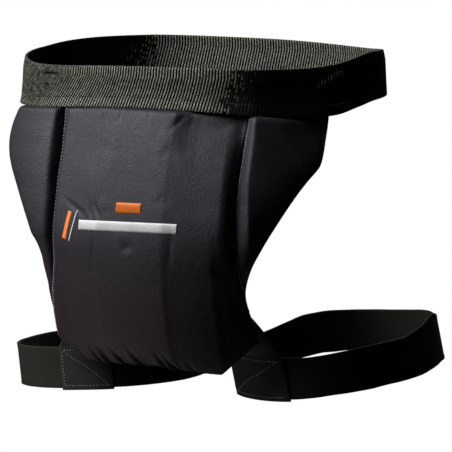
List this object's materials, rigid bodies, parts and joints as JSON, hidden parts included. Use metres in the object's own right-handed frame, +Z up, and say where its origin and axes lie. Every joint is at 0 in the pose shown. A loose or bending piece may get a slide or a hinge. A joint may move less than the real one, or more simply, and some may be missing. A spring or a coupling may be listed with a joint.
{
  "type": "padded seat guard",
  "caption": "Padded seat and tailbone guard for sport: a ribbed waist belt carries a sewn foam seat pad with hip wings, held down by elastic thigh straps on sewn tabs.",
  "frame": {"origin": "middle of the waist loop at half the belt's height, where the body stands in it", "axes": "+Z up, the seat pad faces -Y, +X is to the right for a viewer who faces the pad"},
  "size_m": [0.4221, 0.3199, 0.3478],
  "materials": {
    "belt_webbing": "ribbed woven webbing, matt",
    "pad_fabric": "smooth nylon cloth over foam, satin",
    "strap_elastic": "knitted elastic, matt"
  },
  "bodies": {
    "root": {"waist_belt": "belt_webbing", "centre_pad": "pad_fabric", "left_wing_pad": "pad_fabric", "right_wing_pad": "pad_fabric", "left_thigh_strap": "strap_elastic", "right_thigh_strap": "strap_elastic", "left_strap_tab": "strap_elastic", "right_strap_tab": "strap_elastic"}
  },
  "joints": []
}
